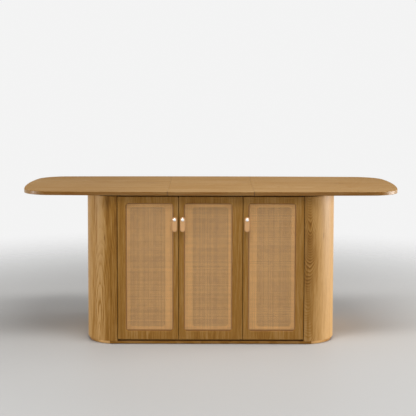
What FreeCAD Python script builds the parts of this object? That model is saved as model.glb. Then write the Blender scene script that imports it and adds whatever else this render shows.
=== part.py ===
import FreeCAD, Part
import math
import os

# Kitchen table on a storage cabinet: an extending top with its leaf in place, over a carcass
# with quarter-round corners, three flush doors with cane panels, and a low plinth.
# Millimetres. +X runs along the table, the doors face -Y and +Z is up.
# The origin is on the floor, under the middle of the top.

Vector = FreeCAD.Vector

# Table top
top_length = 1906.0
top_width = 762.0
table_height = 762.0
top_thickness = 19.0
end_bow_radius = 1550.0
side_bow_radius = 21400.0
top_corner_radius = 152.0
top_edge_bevel = 1.6
leaf_width = 426.0
leaf_seam = 0.5
leaf_seat_gap = 0.3
leaf_batten_width = 50.0
leaf_batten_height = 22.0
leaf_batten_inset = 104.0
leaf_batten_gap = 28.0

# Runners under the top and the grooved guides that hold them
guide_inset = 141.0
guide_width = 30.0
guide_height = 40.0
guide_end_inset = 66.0
groove_depth = 10.0
groove_height = 14.0
groove_rise = 15.0
runner_width = 26.0
runner_floor_gap = 5.0
runner_end_inset = 106.0
runner_inner_reach = 80.0
slide_gap = 0.3

# Cabinet shell
cabinet_width = 1240.0
top_overhang = 20.0
corner_radius = 160.0
shell_thickness = 18.0
top_reveal = 6.0
shell_edge_round = 1.5

# Boards inside the cabinet
board_thickness = 18.0
runner_chamber_height = 45.0
shelf_rise = 316.0
shelf_end_gap = 2.0
shelf_front_setback = 36.0
shelf_back_gap = 3.0
shelf_pin_radius = 2.5
shelf_pin_depth = 8.0
shelf_pin_reach = 9.0
shelf_pin_setback = 60.0

# Plinth and floor glides
plinth_height = 15.0
plinth_thickness = 18.0
plinth_inset = 9.0
toe_setback = 14.4
glide_height = 1.0
glide_length = 60.0
glide_width = 12.0
glide_end_inset = 106.0
glide_side_inset = 51.0

# Doors
middle_door_module = 316.0
door_thickness = 22.0
door_gap = 3.0
door_back_gap = 3.0
door_foot_gap = 9.5
door_head_gap = 1.0
door_edge_bevel = 1.2
lock_stile = 24.5
side_hinge_stile = 40.0
middle_hinge_stile = 50.0
top_rail = 33.0
bottom_rail = 43.0
opening_radius = 17.0
opening_bevel = 2.5
door_lip = 8.0
rabbet_width = 12.0
cane_thickness = 2.0
backing_thickness = 11.0
backing_lock_margin = 42.0
backing_hinge_margin = 22.0
backing_end_margin = 19.0

# Leather pulls
tab_width = 26.0
tab_height = 74.0
tab_thickness = 4.0
pull_inset = 18.5
pull_drop = 113.0
tab_head = 14.0
spacer_radius = 5.5
spacer_length = 8.0
stud_radius = 7.5
stud_height = 3.0
shank_radius = 2.0
shank_gap = 0.1
shank_length = 26.0

# Pivot hinges and magnet catches
pivot_inset = 8.0
pivot_setback = 6.5
pin_radius = 2.5
pin_gap = 0.05
pin_engagement = 18.0
bush_radius = 4.0
bush_length = 20.0
plate_half_width = 6.0
plate_thickness = 2.5
plate_grip = 18.0
thrust_gap = 0.3
magnet_width = 30.0
magnet_height = 10.0
magnet_depth = 12.0
magnet_proud = 0.5
strike_width = 30.0
strike_height = 12.0
strike_thickness = 1.2
catch_inset = 30.0

# Helpers' own values
cut_overrun = 1.0
match_tolerance = 0.01
peg_sides = 10

# Levels and planes that follow from the sizes above
top_underside = table_height - top_thickness
leaf_underside = top_underside + leaf_seat_gap
half_width = cabinet_width / 2
half_depth = top_width / 2 - top_overhang
corner_x = half_width - corner_radius
corner_y = half_depth - corner_radius
shell_bottom = glide_height + plinth_height
shell_top = top_underside - top_reveal
bottom_top = shell_bottom + board_thickness
deck_top = top_underside - runner_chamber_height
deck_bottom = deck_top - board_thickness
shelf_bottom = bottom_top + shelf_rise
door_front = -half_depth
door_back = door_front + door_thickness
carcass_front = door_back + door_back_gap
door_bottom = shell_bottom + door_foot_gap
door_top = shell_top - door_head_gap
opening_bottom = door_bottom + bottom_rail
opening_top = door_top - top_rail
bay_half_width = corner_x + door_gap / 2
inner_depth = half_depth - shell_thickness
pivot_y = door_front + pivot_setback
lower_plate_top = door_bottom - thrust_gap
lower_plate_bottom = lower_plate_top - plate_thickness
catch_z = (opening_top + rabbet_width + door_top) / 2
pull_z = door_top - pull_drop
partition_x = middle_door_module / 2
seam_x = leaf_width / 2
guide_y = half_depth - guide_inset
guide_half_length = half_width - guide_end_inset
guide_bottom = deck_top
groove_bottom = guide_bottom + groove_rise


class DoorPlace:
    """Where one door stands: its edges, hinge axis and the places measured from them."""

    def __init__(self, name, start, end, hinge_side, hinge_stile):
        self.name = name
        self.low = start + door_gap / 2
        self.high = end - door_gap / 2
        self.side = hinge_side
        hinge_edge = self.high if hinge_side > 0 else self.low
        lock_edge = self.low if hinge_side > 0 else self.high
        self.pivot_x = hinge_edge - hinge_side * pivot_inset
        self.pull_x = lock_edge + hinge_side * pull_inset
        self.catch_x = lock_edge + hinge_side * catch_inset
        lock_line = lock_edge + hinge_side * lock_stile
        hinge_line = hinge_edge - hinge_side * hinge_stile
        self.opening = sorted((lock_line, hinge_line))
        window_lock = lock_line + hinge_side * backing_lock_margin
        window_hinge = hinge_line - hinge_side * backing_hinge_margin
        self.window = sorted((window_lock, window_hinge))


doors = [
    DoorPlace("left", -corner_x, -partition_x, -1, side_hinge_stile),
    DoorPlace("middle", -partition_x, partition_x, 1, middle_hinge_stile),
    DoorPlace("right", partition_x, corner_x, 1, side_hinge_stile),
]


def export(name, *shapes):
    """Write the solids of one node to its own file."""
    solids = [solid for shape in shapes for solid in shape.Solids]
    node = solids[0] if len(solids) == 1 else Part.makeCompound(solids)
    node.exportStep(os.path.join("parts", name + ".step"))


def box(x_span, y_span, z_span):
    """A box between pairs of planes."""
    low = Vector(x_span[0], y_span[0], z_span[0])
    high = Vector(x_span[1], y_span[1], z_span[1])
    size = high - low
    return Part.makeBox(size.x, size.y, size.z, low)


def cylinder(radius, start, along):
    """A cylinder from a point, along a vector."""
    return Part.makeCylinder(radius, along.Length, start, along)


def peg(radius, start, along):
    """A many-sided peg from a point, along a vector: small repeated pins, sleeves and their holes."""
    level = Vector(0, 0, 1) if abs(along.z) < match_tolerance else Vector(1, 0, 0)
    across = along.cross(level).normalize()
    points = []
    for side in range(peg_sides + 1):
        angle = 2 * math.pi * side / peg_sides
        points.append(start + level * (radius * math.cos(angle)) + across * (radius * math.sin(angle)))
    return Part.Face(Part.makePolygon(points)).extrude(along)


def around(center, half):
    """The span that reaches half a width to both sides of a centre."""
    return (center - half, center + half)


def flat_at(edge, axis, value):
    """Whether an edge lies in the plane where one coordinate has this value."""
    bounds = edge.BoundBox
    low = getattr(bounds, axis + "Min")
    high = getattr(bounds, axis + "Max")
    return abs(low - value) < match_tolerance and abs(high - value) < match_tolerance


def upright(edge):
    """Whether an edge is a vertical line."""
    bounds = edge.BoundBox
    return bounds.XLength < match_tolerance and bounds.YLength < match_tolerance


def rounded(shape, radius, wanted):
    """The shape with a fillet on every edge that the test picks."""
    return shape.makeFillet(radius, [edge for edge in shape.Edges if wanted(edge)])


def beveled(shape, size, wanted):
    """The shape with a flat bevel on every edge that the test picks."""
    return shape.makeChamfer(size, [edge for edge in shape.Edges if wanted(edge)])


def rounded_face(u_span, v_span, radius, place):
    """A face with round corners; place turns its two coordinates into a point."""
    quarter = math.pi / 2
    near = (u_span[0] + radius, v_span[0] + radius)
    far = (u_span[1] - radius, v_span[1] - radius)
    centers = [(far[0], near[1]), far, (near[0], far[1]), near]
    arcs = []
    for turn, (center_u, center_v) in enumerate(centers):
        start = quarter * (turn - 1)
        points = []
        for angle in (start, start + quarter / 2, start + quarter):
            points.append(place(center_u + radius * math.cos(angle), center_v + radius * math.sin(angle)))
        arcs.append(points)
    edges = []
    for index, points in enumerate(arcs):
        last = arcs[index - 1][-1]
        if last.distanceToPoint(points[0]) > match_tolerance:
            edges.append(Part.makeLine(last, points[0]))
        edges.append(Part.Arc(*points).toShape())
    return Part.Face(Part.Wire(edges))


def plan_prism(half_x, half_y, radius, z_span):
    """A block with round upright corners, centred on the origin in plan."""
    face = rounded_face((-half_x, half_x), (-half_y, half_y), radius, lambda u, v: Vector(u, v, z_span[0]))
    return face.extrude(Vector(0, 0, z_span[1] - z_span[0]))


def front_prism(x_span, z_span, radius, y_span):
    """A block with round corners as seen from the front."""
    face = rounded_face(x_span, z_span, radius, lambda u, v: Vector(u, y_span[0], v))
    return face.extrude(Vector(0, y_span[1] - y_span[0], 0))


def shell_ring(inset, thickness, z_span):
    """A wall that follows the cabinet's rounded plan, set in from it."""
    outer = plan_prism(half_width - inset, half_depth - inset, corner_radius - inset, z_span)
    depth = inset + thickness
    hollow_span = (z_span[0] - cut_overrun, z_span[1] + cut_overrun)
    hollow = plan_prism(half_width - depth, half_depth - depth, corner_radius - depth, hollow_span)
    return outer.cut(hollow)


def bow_corner():
    """The point in the +X +Y quarter where an end's bow meets a long edge's bow."""
    end_center = top_length / 2 - end_bow_radius
    side_center = top_width / 2 - side_bow_radius
    span = math.hypot(end_center, side_center)
    along = (end_bow_radius**2 - side_bow_radius**2 + span**2) / (2 * span)
    across = math.sqrt(end_bow_radius**2 - along**2)
    toward = Vector(-end_center / span, side_center / span, 0)
    sideways = Vector(-toward.y, toward.x, 0)
    return Vector(end_center, 0, 0) + toward * along + sideways * across


def top_blank(bottom):
    """The whole bowed top with its round corners, before it is cut into sections."""
    corner = bow_corner()
    outline = [
        (-corner.x, -corner.y),
        (0, -top_width / 2),
        (corner.x, -corner.y),
        (top_length / 2, 0),
        (corner.x, corner.y),
        (0, top_width / 2),
        (-corner.x, corner.y),
        (-top_length / 2, 0),
    ]
    points = [Vector(x, y, bottom) for x, y in outline]
    arcs = []
    for start in range(0, len(points), 2):
        end = (start + 2) % len(points)
        arcs.append(Part.Arc(points[start], points[start + 1], points[end]).toShape())
    blank = Part.Face(Part.Wire(arcs)).extrude(Vector(0, 0, table_height - bottom))
    return rounded(blank, top_corner_radius, upright)


def top_section(x_span, bottom, seams):
    """One section of the top, with its outer edges eased and its seams left square."""
    y_span = around(0, top_width)
    section = top_blank(bottom).common(box(x_span, y_span, (bottom, table_height)))

    def outer_arris(edge):
        level = flat_at(edge, "Z", bottom) or flat_at(edge, "Z", table_height)
        return level and not any(flat_at(edge, "X", seam) for seam in seams)

    return beveled(section, top_edge_bevel, outer_arris)


def make_top():
    """The two end sections and the leaf, with the battens that keep the leaf flat."""
    inner = seam_x + leaf_seam / 2
    outer = top_length / 2 + cut_overrun
    export("left_top", top_section((-outer, -inner), top_underside, [-inner]))
    export("right_top", top_section((inner, outer), top_underside, [inner]))
    leaf_edge = seam_x - leaf_seam / 2
    export("leaf_top", top_section((-leaf_edge, leaf_edge), leaf_underside, [-leaf_edge, leaf_edge]))
    battens = []
    reach = guide_y - guide_width / 2 - slide_gap - runner_width - leaf_batten_gap
    for side in (-1, 1):
        x_span = around(side * (seam_x - leaf_batten_inset), leaf_batten_width / 2)
        y_span = around(0, reach)
        battens.append(box(x_span, y_span, (leaf_underside - leaf_batten_height, leaf_underside)))
    export("leaf_battens", *battens)


def guide_bar(center_y):
    """A guide screwed to the deck, with a groove along each side."""
    x_span = around(0, guide_half_length)
    bar = box(x_span, around(center_y, guide_width / 2), (guide_bottom, guide_bottom + guide_height))
    cut_span = around(0, guide_half_length + cut_overrun)
    for side in (-1, 1):
        face_y = center_y + side * guide_width / 2
        groove_y = sorted((face_y - side * groove_depth, face_y + side * cut_overrun))
        bar = bar.cut(box(cut_span, groove_y, (groove_bottom, groove_bottom + groove_height)))
    return bar


def runner(center_y, side, x_span):
    """A runner screwed under the top, with a tongue in the groove of the guide beside it."""
    near_y = center_y + side * (guide_width / 2 + slide_gap)
    far_y = near_y + side * runner_width
    body = box(x_span, sorted((near_y, far_y)), (deck_top + runner_floor_gap, top_underside))
    tip_y = near_y - side * groove_depth
    tongue_z = (groove_bottom + slide_gap, groove_bottom + groove_height - slide_gap)
    return body.fuse(box(x_span, sorted((tip_y, near_y)), tongue_z)).removeSplitter()


def make_slides():
    """Two guides on the deck and a pair of runners under each end section."""
    runner_end = half_width - runner_end_inset
    left_span = (-runner_end, runner_inner_reach)
    right_span = (-runner_inner_reach, runner_end)
    for place, direction in (("front", -1), ("back", 1)):
        center_y = direction * guide_y
        export(place + "_guide", guide_bar(center_y))
        export("left_" + place + "_runner", runner(center_y, direction, left_span))
        export("right_" + place + "_runner", runner(center_y, -direction, right_span))


def make_shell():
    """Four quarter-round corners, two flat sides and the back, cut from one rounded wall."""
    z_span = (shell_bottom, shell_top)
    ring = shell_ring(0, shell_thickness, z_span)
    reach_x = (bay_half_width, half_width + cut_overrun)
    reach_y = (corner_y, half_depth + cut_overrun)
    for x_name, x_side in (("left", -1), ("right", 1)):
        x_span = sorted(x_side * value for value in reach_x)
        for y_name, y_side in (("front", -1), ("back", 1)):
            y_span = sorted(y_side * value for value in reach_y)
            corner = ring.common(box(x_span, y_span, z_span))

            def bay_edge(edge):
                outside = abs(edge.BoundBox.YMax) > half_depth - shell_thickness / 2
                return upright(edge) and flat_at(edge, "X", x_side * bay_half_width) and outside

            if y_side < 0:
                corner = rounded(corner, shell_edge_round, bay_edge)
            export(y_name + "_" + x_name + "_corner", corner)
        export(x_name + "_side_panel", ring.common(box(x_span, around(0, corner_y), z_span)))
    back_span = (corner_y, half_depth + cut_overrun)
    export("back_panel", ring.common(box(around(0, bay_half_width), back_span, z_span)))


def plan_board(z_span):
    """A board that fills the shell in plan and stops behind the doors."""
    radius = corner_radius - shell_thickness
    board = plan_prism(half_width - shell_thickness, inner_depth, radius, z_span)
    door_zone = box(around(0, bay_half_width), (door_front, carcass_front), z_span)
    return board.cut(door_zone)


def pin_hole_places():
    """The two places along the depth where shelf pins stand."""
    shelf_front = carcass_front + shelf_front_setback
    shelf_back = inner_depth - shelf_back_gap
    return (shelf_front + shelf_pin_setback, shelf_back - shelf_pin_setback)


def shelf_pin(wall_x, side, y, radius, reach):
    """A pin, or the hole for one, that stands out of a wall's face to one side."""
    start = Vector(wall_x - side * shelf_pin_depth, y, shelf_bottom - shelf_pin_radius)
    return peg(radius, start, Vector(side * (shelf_pin_depth + reach), 0, 0))


def make_boards():
    """Bottom, deck, upright walls, shelves and the rail above the doors."""
    bottom = plan_board((shell_bottom, bottom_top))
    for door in doors:
        slot_y = (carcass_front - cut_overrun, carcass_front + plate_grip)
        slot_z = (lower_plate_bottom, lower_plate_top)
        bottom = bottom.cut(box(around(door.pivot_x, plate_half_width), slot_y, slot_z))
    export("bottom_panel", bottom)
    export("deck_panel", plan_board((deck_bottom, deck_top)))

    core = plan_board((bottom_top, deck_bottom))
    y_span = (-half_depth, half_depth)
    wall_z = (bottom_top, deck_bottom)
    left_face = -bay_half_width
    right_face = bay_half_width
    divider = around(partition_x, board_thickness / 2)
    walls = [
        ["left_end_wall", (left_face - board_thickness, left_face), [(left_face, 1)]],
        ["partition", divider, [(divider[0], -1), (divider[1], 1)]],
        ["right_end_wall", (right_face, right_face + board_thickness), [(right_face, -1)]],
    ]
    pins = []
    for name, x_span, faces in walls:
        wall = core.common(box(x_span, y_span, wall_z))
        for face_x, side in faces:
            for y in pin_hole_places():
                wall = wall.cut(shelf_pin(face_x, side, y, shelf_pin_radius, cut_overrun))
                pins.append(shelf_pin(face_x, side, y, shelf_pin_radius, shelf_pin_reach))
        export(name, wall)
    export("shelf_pins", *pins)

    shelf_y = (carcass_front + shelf_front_setback, inner_depth - shelf_back_gap)
    shelf_z = (shelf_bottom, shelf_bottom + board_thickness)
    for name, low, high in (("left", left_face, divider[0]), ("right", divider[1], right_face)):
        export(name + "_shelf", box((low + shelf_end_gap, high - shelf_end_gap), shelf_y, shelf_z))

    rail_x = around(0, bay_half_width + board_thickness)
    rail = box(rail_x, (carcass_front, carcass_front + board_thickness), (deck_top, shell_top))
    for door in doors:
        rail = rail.cut(catch_magnet(door))
    export("front_top_rail", rail)


def make_plinth():
    """Straight toe rails, bent end pieces, cross rails and the glide strips under them."""
    z_span = (glide_height, shell_bottom)
    glide_z = (0, glide_height)
    long_half = glide_length / 2
    short_half = glide_width / 2
    rail_front = half_depth - toe_setback
    rail_back = rail_front - plinth_thickness
    bend_radius = corner_radius - plinth_inset
    break_x = corner_x + math.sqrt(bend_radius**2 - (rail_front - corner_y) ** 2)
    ring = shell_ring(plinth_inset, plinth_thickness, z_span)
    end_x = half_width - plinth_inset - plinth_thickness / 2
    rail_y = (rail_front + rail_back) / 2
    glide_x = break_x - glide_end_inset
    glide_y = corner_y - glide_side_inset

    glides = []
    for name, side in (("front", -1), ("back", 1)):
        rail = box(around(0, break_x), sorted((side * rail_front, side * rail_back)), z_span)
        export("plinth_" + name + "_rail", rail)
        for place in (-1, 0, 1):
            glides.append(box(around(place * glide_x, long_half), around(side * rail_y, short_half), glide_z))
    for name, side in (("left", -1), ("right", 1)):
        end_span = sorted((side * break_x, side * half_width))
        export("plinth_" + name + "_end", ring.common(box(end_span, around(0, half_depth), z_span)))
        for place in (-1, 1):
            glides.append(box(around(side * end_x, short_half), around(place * glide_y, long_half), glide_z))
    cross_rails = []
    for side in (-1, 1):
        x_span = around(side * partition_x, plinth_thickness / 2)
        cross_rails.append(box(x_span, around(0, rail_back), z_span))
    export("plinth_cross_rails", *cross_rails)
    export("floor_glides", *glides)


def door_frame(door):
    """The one-piece front of a door: a window with round corners and a rabbet behind it."""
    frame = box((door.low, door.high), (door_front, door_back), (door_bottom, door_top))
    z_span = (opening_bottom, opening_top)
    through = (door_front - cut_overrun, door_back + cut_overrun)
    frame = frame.cut(front_prism(door.opening, z_span, opening_radius, through))

    def window_edge(edge):
        bounds = edge.BoundBox
        inside = bounds.XMin > door.low + match_tolerance and bounds.XMax < door.high - match_tolerance
        inside = inside and bounds.ZMin > door_bottom + match_tolerance
        return inside and flat_at(edge, "Y", door_front)

    def outer_edge(edge):
        upright_side = flat_at(edge, "X", door.low) or flat_at(edge, "X", door.high)
        level_side = flat_at(edge, "Z", door_bottom) or flat_at(edge, "Z", door_top)
        return flat_at(edge, "Y", door_front) and (upright_side or level_side)

    frame = beveled(frame, opening_bevel, window_edge)
    frame = beveled(frame, door_edge_bevel, outer_edge)
    frame = frame.cut(rabbet_block(door, (door_front + door_lip, door_back + cut_overrun)))
    for bush_bottom in (door_bottom, door_top - bush_length):
        start = Vector(door.pivot_x, pivot_y, bush_bottom)
        frame = frame.cut(peg(bush_radius, start, Vector(0, 0, bush_length)))
    return frame.cut(shank_hole(door))


def rabbet_block(door, y_span):
    """What fills the rabbet of a door between two depths."""
    x_span = (door.opening[0] - rabbet_width, door.opening[1] + rabbet_width)
    z_span = (opening_bottom - rabbet_width, opening_top + rabbet_width)
    return front_prism(x_span, z_span, opening_radius + rabbet_width, y_span)


def shank_hole(door):
    """The hole for a pull's shank, through the lip and the cane and into the backing."""
    tip_y = door_front - spacer_length - tab_thickness + shank_length
    start = Vector(door.pull_x, door_front - cut_overrun, pull_z)
    depth = tip_y + shank_gap - start.y
    return peg(shank_radius + shank_gap, start, Vector(0, depth, 0))


def backing_frame(door, y_span):
    """The frame that clamps the cane in the rabbet, wider on the side that takes the pull."""
    window_z = (opening_bottom + backing_end_margin, opening_top - backing_end_margin)
    cut_span = (y_span[0] - cut_overrun, y_span[1] + cut_overrun)
    window = front_prism(door.window, window_z, opening_radius, cut_span)
    return rabbet_block(door, y_span).cut(window).cut(shank_hole(door))


def pull_tab(door):
    """A leather tab with round ends, hung on its stud."""
    back_y = door_front - spacer_length
    y_span = (back_y - tab_thickness, back_y)
    tab_top = pull_z + tab_head
    z_span = (tab_top - tab_height, tab_top)
    tab = front_prism(around(door.pull_x, tab_width / 2), z_span, tab_width / 2, y_span)
    start = Vector(door.pull_x, back_y - tab_thickness - cut_overrun, pull_z)
    return tab.cut(peg(shank_radius + shank_gap, start, Vector(0, tab_thickness + 2 * cut_overrun, 0)))


def turned(profile, x, z):
    """A solid turned about a front-to-back axis, from points of radius and depth."""
    points = [Vector(x + radius, y, z) for radius, y in profile]
    face = Part.Face(Part.makePolygon(points + points[:1]))
    return face.revolve(Vector(x, 0, z), Vector(0, 1, 0), 360)


def pull_stud(door):
    """The stud: a low round head on a shank that ends in the backing frame."""
    head_back = door_front - spacer_length - tab_thickness
    head_front = head_back - stud_height
    profile = [
        (0, head_front),
        (stud_radius - stud_height, head_front),
        (stud_radius, head_back),
        (0, head_back),
    ]
    head = turned(profile, door.pull_x, pull_z)
    shank = peg(shank_radius, Vector(door.pull_x, head_back, pull_z), Vector(0, shank_length, 0))
    return head.fuse(shank).removeSplitter()


def pull_spacer(door):
    """The sleeve that holds the tab away from the door."""
    start = Vector(door.pull_x, door_front - spacer_length, pull_z)
    along = Vector(0, spacer_length, 0)
    return peg(spacer_radius, start, along).cut(peg(shank_radius + shank_gap, start, along))


def hinge_bushes(door):
    """The two flush sleeves in a door's edges that turn on the pivot pins."""
    bushes = []
    for bottom in (door_bottom, door_top - bush_length):
        start = Vector(door.pivot_x, pivot_y, bottom)
        along = Vector(0, 0, bush_length)
        bushes.append(peg(bush_radius, start, along).cut(cylinder(pin_radius + pin_gap, start, along)))
    return bushes


def catch_strike(door):
    """The steel plate on a door's back that meets the magnet."""
    x_span = around(door.catch_x, strike_width / 2)
    return box(x_span, (door_back, door_back + strike_thickness), around(catch_z, strike_height / 2))


def catch_magnet(door):
    """The magnet block set into the rail behind the top of a door's lock side."""
    magnet_front = carcass_front - magnet_proud
    x_span = around(door.catch_x, magnet_width / 2)
    return box(x_span, (magnet_front, magnet_front + magnet_depth), around(catch_z, magnet_height / 2))


def pivot_arm(door, z_span):
    """A flat hinge plate with a many-sided nose over the pivot axis."""
    y_span = (pivot_y, carcass_front + plate_grip)
    plate = box(around(door.pivot_x, plate_half_width), y_span, z_span)
    start = Vector(door.pivot_x, pivot_y, z_span[0])
    nose = peg(plate_half_width, start, Vector(0, 0, z_span[1] - z_span[0]))
    return plate.fuse(nose)


def pivot(door, plate_z, pin_z):
    """A hinge plate with the pin that turns in a door's bush."""
    start = Vector(door.pivot_x, pivot_y, pin_z[0])
    pin = cylinder(pin_radius, start, Vector(0, 0, pin_z[1] - pin_z[0]))
    return pivot_arm(door, plate_z).fuse(pin).removeSplitter()


def make_doors():
    """Every door's own pieces, and the pivots and magnets that the cabinet carries for them."""
    cane_y = (door_front + door_lip, door_front + door_lip + cane_thickness)
    backing_y = (cane_y[1], cane_y[1] + backing_thickness)
    for door in doors:
        export(door.name + "_door_frame", door_frame(door))
        export(door.name + "_door_cane", rabbet_block(door, cane_y).cut(shank_hole(door)))
        export(door.name + "_door_backing", backing_frame(door, backing_y))
        export(door.name + "_pull_tab", pull_tab(door))
        export(door.name + "_pull_stud", pull_stud(door))
        export(door.name + "_pull_spacer", pull_spacer(door))
        export(door.name + "_hinge_bushes", *hinge_bushes(door))
        export(door.name + "_catch_strike", catch_strike(door))
    upper_z = (shell_top, shell_top + plate_thickness)
    upper_pin_z = (door_top - pin_engagement, upper_z[1])
    lower_z = (lower_plate_bottom, lower_plate_top)
    lower_pin_z = (lower_plate_bottom, door_bottom + pin_engagement)
    export("upper_pivots", *[pivot(door, upper_z, upper_pin_z) for door in doors])
    export("lower_pivots", *[pivot(door, lower_z, lower_pin_z) for door in doors])
    export("catch_magnets", *[catch_magnet(door) for door in doors])


os.makedirs("parts", exist_ok=True)
make_top()
make_slides()
make_shell()
make_boards()
make_plinth()
make_doors()
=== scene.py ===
"""Looks of a kitchen table on its storage cabinet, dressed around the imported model.

Metres. +X runs along the table, the doors face -Y and +Z is up. The oak is a solid
procedural wood whose growth rings follow each piece's own pith line. The woven cane, the
leather tabs and their studs are meshes that stand for the plain solids of the model.
"""
import logging
import math
import random
from dataclasses import dataclass, field
from enum import Enum
from functools import partial, reduce

import bmesh
import bpy
from mathutils import Euler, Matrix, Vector
from mathutils.bvhtree import BVHTree


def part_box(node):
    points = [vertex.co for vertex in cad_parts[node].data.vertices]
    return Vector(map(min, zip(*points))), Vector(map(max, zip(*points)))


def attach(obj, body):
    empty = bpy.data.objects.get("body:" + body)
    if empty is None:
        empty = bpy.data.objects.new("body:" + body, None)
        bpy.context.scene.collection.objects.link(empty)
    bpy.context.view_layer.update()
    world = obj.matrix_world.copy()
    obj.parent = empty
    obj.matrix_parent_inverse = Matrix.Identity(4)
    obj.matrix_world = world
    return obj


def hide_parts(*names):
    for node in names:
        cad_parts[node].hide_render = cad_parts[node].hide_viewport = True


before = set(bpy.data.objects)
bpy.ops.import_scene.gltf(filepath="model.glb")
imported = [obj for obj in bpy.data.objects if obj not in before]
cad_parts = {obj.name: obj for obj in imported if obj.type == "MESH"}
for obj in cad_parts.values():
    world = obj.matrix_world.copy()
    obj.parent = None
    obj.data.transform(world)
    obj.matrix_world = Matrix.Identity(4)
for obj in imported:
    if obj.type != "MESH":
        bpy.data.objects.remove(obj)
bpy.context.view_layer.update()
LOG = logging.getLogger("kitchen_table")
MM = 0.001
DOORS = ("left", "middle", "right")
OUTWARD = Vector((0, -1, 0))

Colour = tuple[float, float, float]
Socket = bpy.types.NodeSocket
Value = Socket | float
Paint = Value | Colour
Axes = tuple[Socket, Socket, Socket]
Stops = tuple[tuple[float, float], ...]
Box = tuple[Vector, Vector]
Face = tuple[int, ...]


def srgb(red: int, green: int, blue: int) -> Colour:
    """Turn a colour as a screen shows it into the linear colour that a shader takes.

    Args:
        red: Red, 0 to 255.
        green: Green, 0 to 255.
        blue: Blue, 0 to 255.

    Returns:
        The same colour in linear values.
    """
    linear = []
    for level in (red / 255, green / 255, blue / 255):
        linear.append(level / 12.92 if level <= 0.04045 else ((level + 0.055) / 1.055) ** 2.4)
    return tuple(linear)


def center(box: Box) -> Vector:
    """Give the middle of a box."""
    return (box[0] + box[1]) / 2


class Nodes:
    """A node tree, with short calls for the nodes that the finishes use."""

    def __init__(self, tree: bpy.types.NodeTree) -> None:
        """Work on this tree."""
        self.tree = tree

    def add(self, kind: str, **settings: object) -> bpy.types.Node:
        """Add a node.

        Args:
            kind: The node's type, without its usual prefix.
            **settings: Properties to set on it.

        Returns:
            The new node.
        """
        node = self.tree.nodes.new("ShaderNode" + kind)
        for key, value in settings.items():
            setattr(node, key, value)
        return node

    def put(self, target: Socket, value: Paint) -> None:
        """Link a socket to the target, or set the target's own value.

        Args:
            target: The input to feed.
            value: A socket, a number or a colour.
        """
        if isinstance(value, Socket):
            self.tree.links.new(value, target)
        else:
            target.default_value = (*value, 1.0) if isinstance(value, tuple) else value

    def feed(self, node: bpy.types.Node, **inputs: Paint) -> bpy.types.Node:
        """Feed a node's inputs by name.

        Args:
            node: The node.
            **inputs: What goes in, with underscores for the spaces of an input's name.

        Returns:
            The same node.
        """
        for key, value in inputs.items():
            self.put(node.inputs[key.replace("_", " ")], value)
        return node

    def math(self, operation: str, *values: Value) -> Socket:
        """Work out a number from one to three others.

        Args:
            operation: Name of the sum, as the Math node has it.
            *values: Sockets or plain numbers.

        Returns:
            The socket that carries the result.
        """
        node = self.add("Math", operation=operation)
        for target, value in zip(node.inputs, values):
            self.put(target, value)
        return node.outputs[0]

    def times(self, first: Value, second: Value) -> Socket:
        """Multiply two numbers."""
        return self.math("MULTIPLY", first, second)

    def total(self, *values: Value) -> Socket:
        """Add up any count of numbers."""
        return reduce(partial(self.math, "ADD"), values)

    def distance(self, x: Value, y: Value) -> Socket:
        """Give how far a point is from the middle of its plane."""
        return self.math("SQRT", self.total(self.times(x, x), self.times(y, y)))

    def spread(self, factor: Value, low: float, high: float) -> Socket:
        """Stretch a number from 0 to 1 over another range."""
        return self.math("MULTIPLY_ADD", factor, high - low, low)

    def swing(self, factor: Value, reach: float) -> Socket:
        """Stretch a number from 0 to 1 as far below 0 as above it."""
        return self.spread(factor, -reach, reach)

    def stripe(self, place: Value, middle: float, reach: float) -> Socket:
        """Give a soft stripe that is 1 in its middle and fades over a reach to both sides."""
        side = self.math("DIVIDE", self.math("SUBTRACT", place, middle), reach)
        return self.math("POWER", math.e, self.times(self.times(side, side), -1.0))

    def join(self, x: Value, y: Value, z: Value) -> Socket:
        """Make a vector from three numbers."""
        return self.feed(self.add("CombineXYZ"), X=x, Y=y, Z=z).outputs[0]

    def split(self, vector: Socket) -> dict[str, Socket]:
        """Take a vector apart into three numbers, by the letters of their axes."""
        return dict(zip("xyz", self.feed(self.add("SeparateXYZ"), Vector=vector).outputs))

    def place(self) -> Socket:
        """Give the point on the piece, in the table's own frame."""
        return self.add("TexCoord").outputs["Object"]

    def noise(self, vector: Socket, scale: float = 1.0, detail: float = 2.0,
              rough: float = 0.5) -> Socket:
        """Sample soft noise.

        Args:
            vector: Where to sample it.
            scale: Cells per unit of the vector.
            detail: How many finer layers it adds.
            rough: How strong the finer layers are.

        Returns:
            The socket of the noise, around 0.5.
        """
        node = self.add("TexNoise")
        self.feed(node, Vector=vector, Scale=scale, Detail=detail, Roughness=rough)
        return node.outputs[0]

    def ramp(self, factor: Socket, stops: list[tuple[float, Colour]]) -> Socket:
        """Run a number through a row of colours.

        Args:
            factor: The number, 0 to 1.
            stops: Places and colours, in order.

        Returns:
            The socket of the colour.
        """
        node = self.add("ValToRGB")
        elements = node.color_ramp.elements
        while len(elements) < len(stops):
            elements.new(0.5)
        for element, (position, colour) in zip(elements, stops):
            element.position = position
            element.color = (*colour, 1.0)
        self.put(node.inputs[0], factor)
        return node.outputs[0]

    def levels(self, factor: Socket, stops: Stops) -> Socket:
        """Run a number through a row of grey levels."""
        return self.ramp(factor, [(position, (level,) * 3) for position, level in stops])

    def blend(self, factor: Value, first: Paint, second: Paint) -> Socket:
        """Mix two colours.

        Args:
            factor: Share of the second colour.
            first: Colour or socket.
            second: Colour or socket.

        Returns:
            The socket of the mixed colour.
        """
        node = self.add("Mix", data_type="RGBA")
        # The node has sockets for each kind of value; 6 and 7 take colours, 2 gives one.
        for number, value in ((0, factor), (6, first), (7, second)):
            self.put(node.inputs[number], value)
        return node.outputs[2]


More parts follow.
